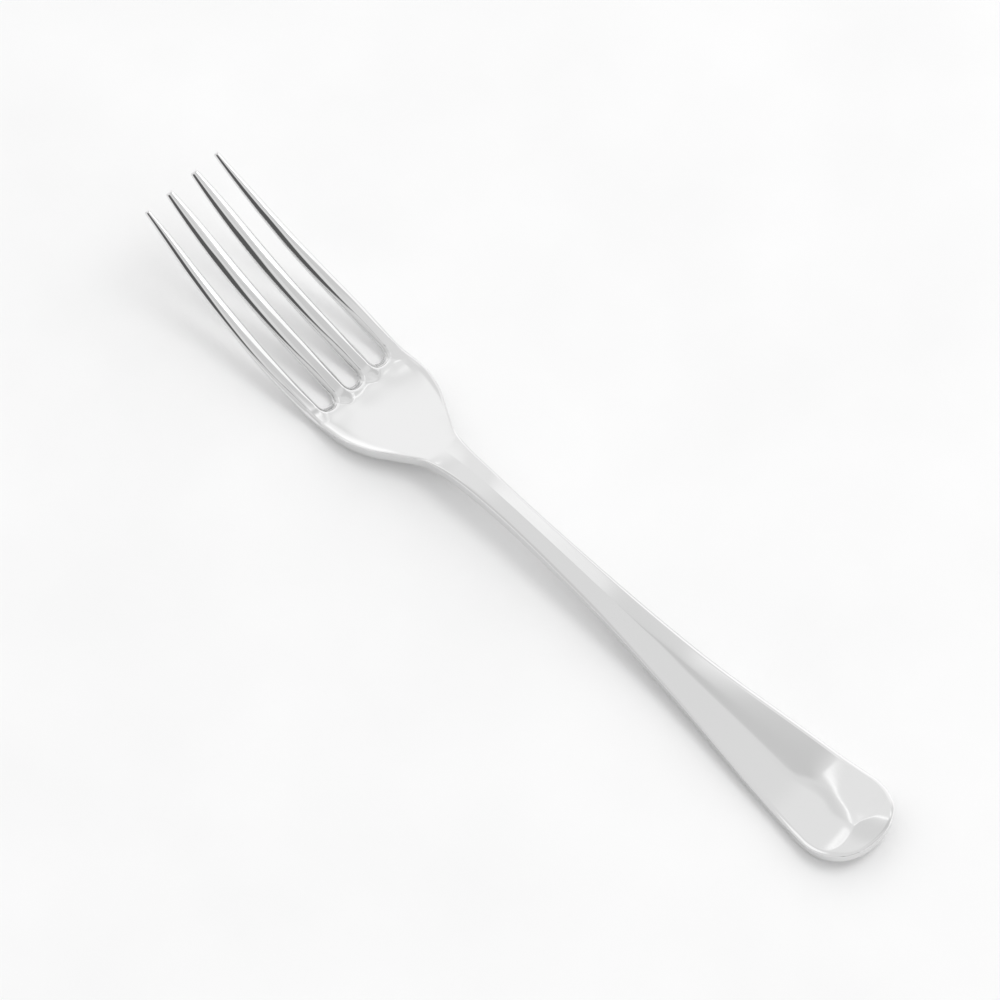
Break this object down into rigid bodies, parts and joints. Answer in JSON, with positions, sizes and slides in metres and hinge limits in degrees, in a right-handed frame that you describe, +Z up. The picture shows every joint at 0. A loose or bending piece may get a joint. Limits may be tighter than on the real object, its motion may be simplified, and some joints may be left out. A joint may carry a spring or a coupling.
{
  "type": "dinner fork",
  "caption": "Polished steel dinner fork with long tapered tines, a dished head and a ridged handle flaring to a round turned-up end.",
  "frame": {"origin": "on the table, under the middle of the fork's length and width", "axes": "+X towards the tine tips, +Y across the fork, +Z up, away from the table, with the hollow side of the head up"},
  "size_m": [0.205, 0.026, 0.0237],
  "materials": {
    "polished_steel": "mirror-polished stainless steel with fine polishing marks"
  },
  "bodies": {
    "root": {"handle": "polished_steel", "stem": "polished_steel", "neck": "polished_steel", "head": "polished_steel", "tine_left_outer": "polished_steel", "tine_left_inner": "polished_steel", "tine_right_inner": "polished_steel", "tine_right_outer": "polished_steel"}
  },
  "joints": []
}
